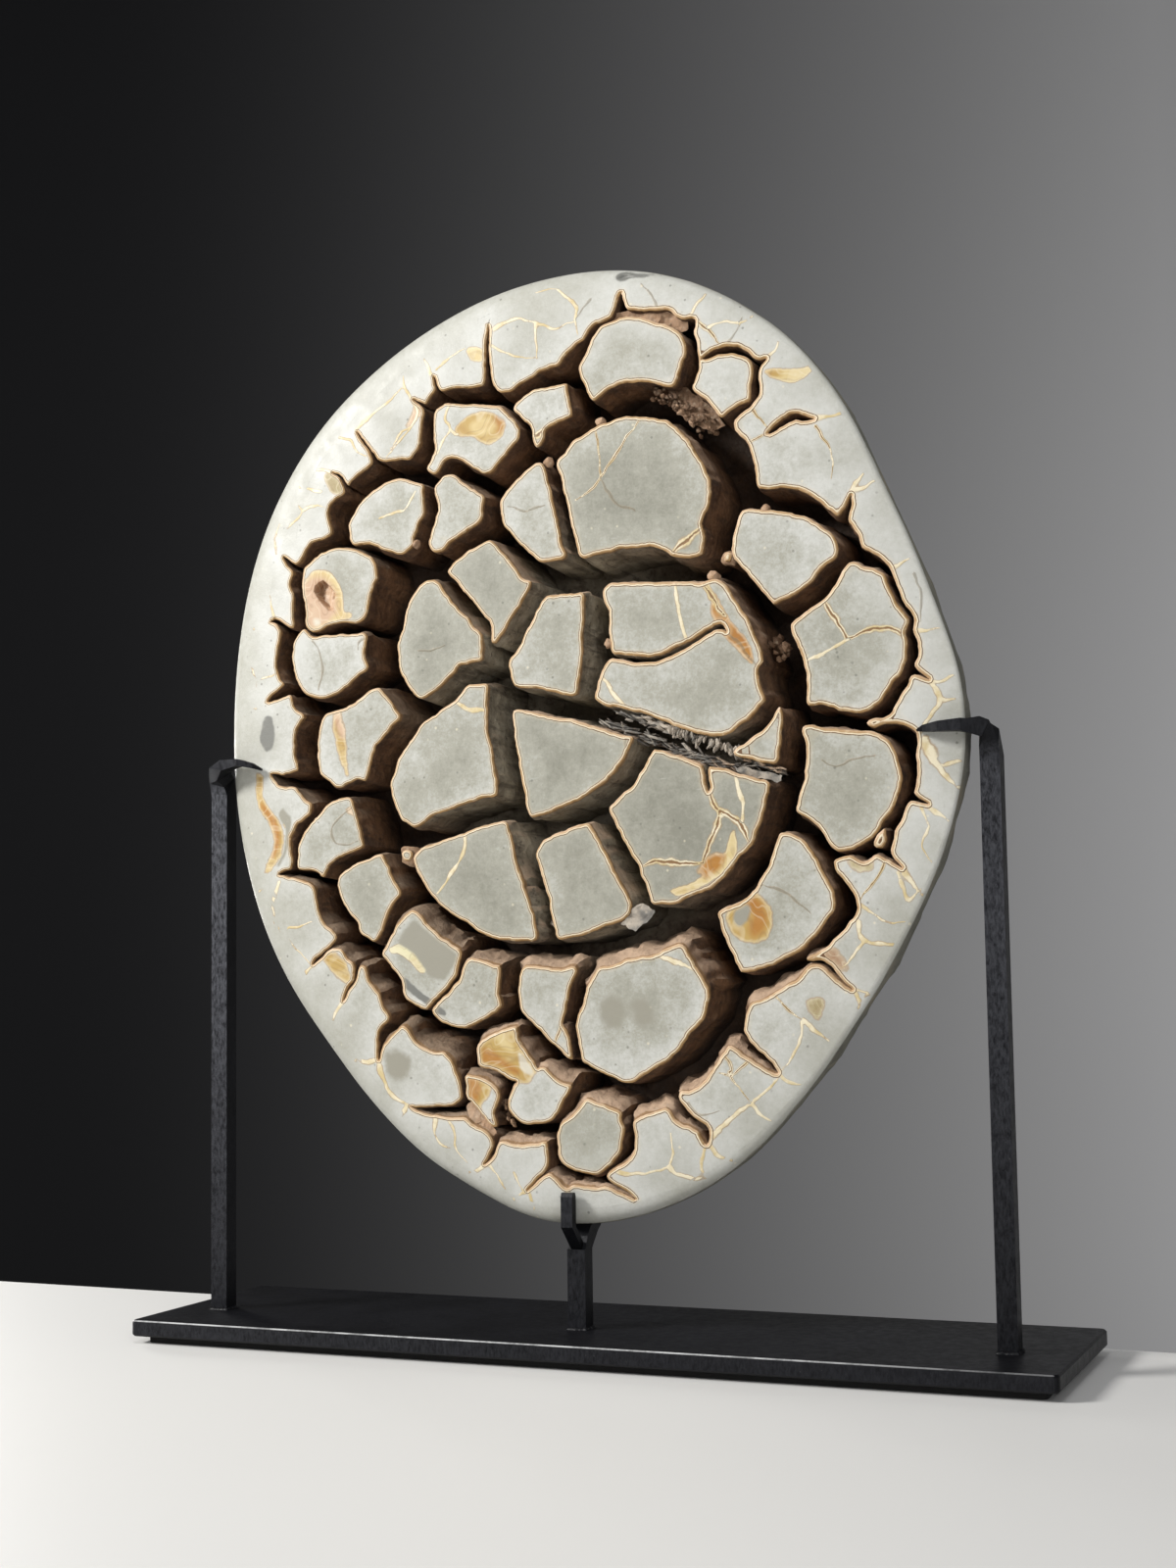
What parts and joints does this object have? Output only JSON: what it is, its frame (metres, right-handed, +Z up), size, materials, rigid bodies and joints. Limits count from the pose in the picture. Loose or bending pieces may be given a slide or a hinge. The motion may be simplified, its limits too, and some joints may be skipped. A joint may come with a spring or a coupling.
{
  "type": "septarian nodule on stand",
  "caption": "Flat-faced half of an egg-shaped septarian nodule with open cracks between polygonal blocks, held upright on a black steel plate stand with two side prongs and a centre cradle.",
  "frame": {"origin": "middle of the pad's underside, on the surface that the stand stands on", "axes": "+Z up, the polished face looks along -Y, +X to the right of a viewer facing it"},
  "size_m": [0.5, 0.134, 0.573],
  "materials": {
    "septarian_stone": "polished flat face with open calcite-lined cracks, rough natural rind behind",
    "stand_steel": "satin black coating",
    "pad_felt": "matt black felt"
  },
  "bodies": {
    "root": {"base_pad": "pad_felt", "base_plate": "stand_steel", "left_upright": "stand_steel", "right_upright": "stand_steel", "centre_post": "stand_steel", "cradle": "stand_steel", "stone": "septarian_stone"}
  },
  "joints": []
}
